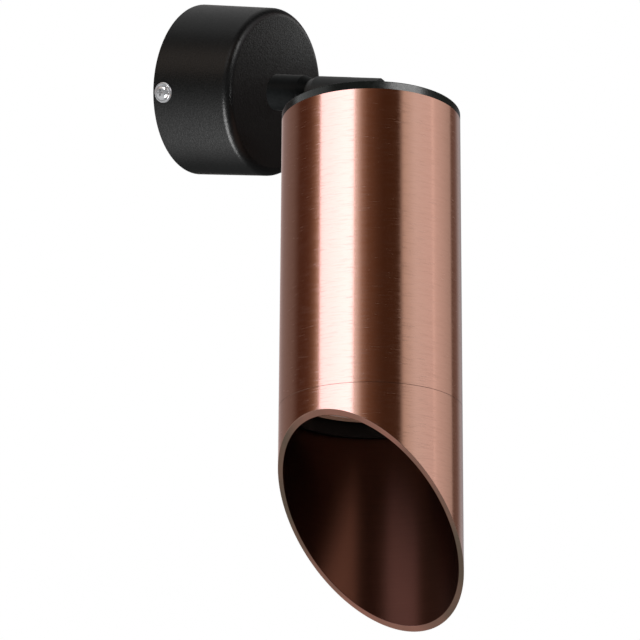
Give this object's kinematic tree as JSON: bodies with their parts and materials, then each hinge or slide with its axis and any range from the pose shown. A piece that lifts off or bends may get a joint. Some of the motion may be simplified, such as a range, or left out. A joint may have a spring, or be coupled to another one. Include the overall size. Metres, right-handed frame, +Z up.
{
  "type": "wall sconce",
  "caption": "Wall spot lamp: round black rose, swivelling and tilting arm, brushed copper tube head with a turnable shade cut off at a slant, twist-lock spot lamp inside.",
  "frame": {"origin": "middle of the rose's back, on the wall", "axes": "-Y away from the wall into the room, +Z up, +X to the right of a person who faces the wall"},
  "size_m": [0.1013, 0.1346, 0.2026],
  "materials": {
    "black_powder_coat": "satin black powder coat",
    "black_satin_arm": "smooth satin black paint",
    "black_satin_cap": "smooth satin black paint",
    "black_oxide_steel": "black oxide",
    "chrome_screw": "bright chrome plate",
    "zinc_steel": "zinc plate",
    "black_rubber": "matt",
    "white_polyamide": "moulded, matt",
    "natural_nylon": "natural, smooth",
    "black_nylon": "black, smooth",
    "terminal_brass": "drawn brass",
    "brushed_copper": "copper-coloured plate on aluminium, brushed round the tube, lacquered; dark bronze inside the shade",
    "bronze_inner_finish": "dark bronze, satin",
    "white_steatite": "unglazed steatite",
    "white_lamp_body": "moulded, satin white",
    "frosted_lens": "frosted, translucent",
    "pin_nickel": "nickel plate"
  },
  "bodies": {
    "root": {"rose_cover": "black_powder_coat", "cover_screws": "chrome_screw", "mounting_plate": "zinc_steel", "cable_bush": "black_rubber", "earth_washer": "zinc_steel", "earth_screw": "zinc_steel", "terminal_block": "white_polyamide", "terminal_inserts": "terminal_brass", "terminal_screws": "zinc_steel", "block_screws": "zinc_steel", "arm_sleeve": "black_satin_arm"},
    "arm": {"slide_washer": "black_nylon", "arm_neck": "black_satin_arm", "swivel_nipple": "zinc_steel", "stop_washer": "zinc_steel", "cup_spring": "zinc_steel", "nipple_nuts": "zinc_steel", "tilt_screw": "black_oxide_steel", "tilt_washers": "natural_nylon"},
    "head": {"pivot_tongue": "black_satin_arm", "tongue_screws": "zinc_steel", "top_cap": "black_satin_cap", "body_tube": "brushed_copper", "holder_bracket": "zinc_steel", "lamp_holder": "white_steatite", "holder_contacts": "terminal_brass", "holder_screws": "zinc_steel", "holder_nuts": "zinc_steel"},
    "lamp": {"lamp_housing": "white_lamp_body", "lamp_lens": "frosted_lens", "lamp_pins": "pin_nickel"},
    "shade": {"slant_shade": "brushed_copper", "shade_ring": "bronze_inner_finish", "grip_ring": "black_rubber"}
  },
  "joints": [
    {"name": "arm_swivel", "type": "hinge", "parent": "root", "child": "arm", "pos_m": [0, -0.0694, 0], "axis": [0, 1, 0], "range_deg": [-186.2, 143.8]},
    {"name": "head_tilt", "type": "hinge", "parent": "arm", "child": "head", "pos_m": [0, -0.0694, 0], "axis": [-0.9323, 0, 0.3616], "range_deg": [-13.5, 76.5]},
    {"name": "lamp_twist", "type": "hinge", "parent": "head", "child": "lamp", "pos_m": [0, -0.0694, 0], "axis": [0.3516, 0.2334, 0.9066], "range_deg": [-25, 0]},
    {"name": "shade_turn", "type": "hinge", "parent": "head", "child": "shade", "pos_m": [0, -0.0694, 0], "axis": [0.3516, 0.2334, 0.9066], "continuous": true}
  ]
}
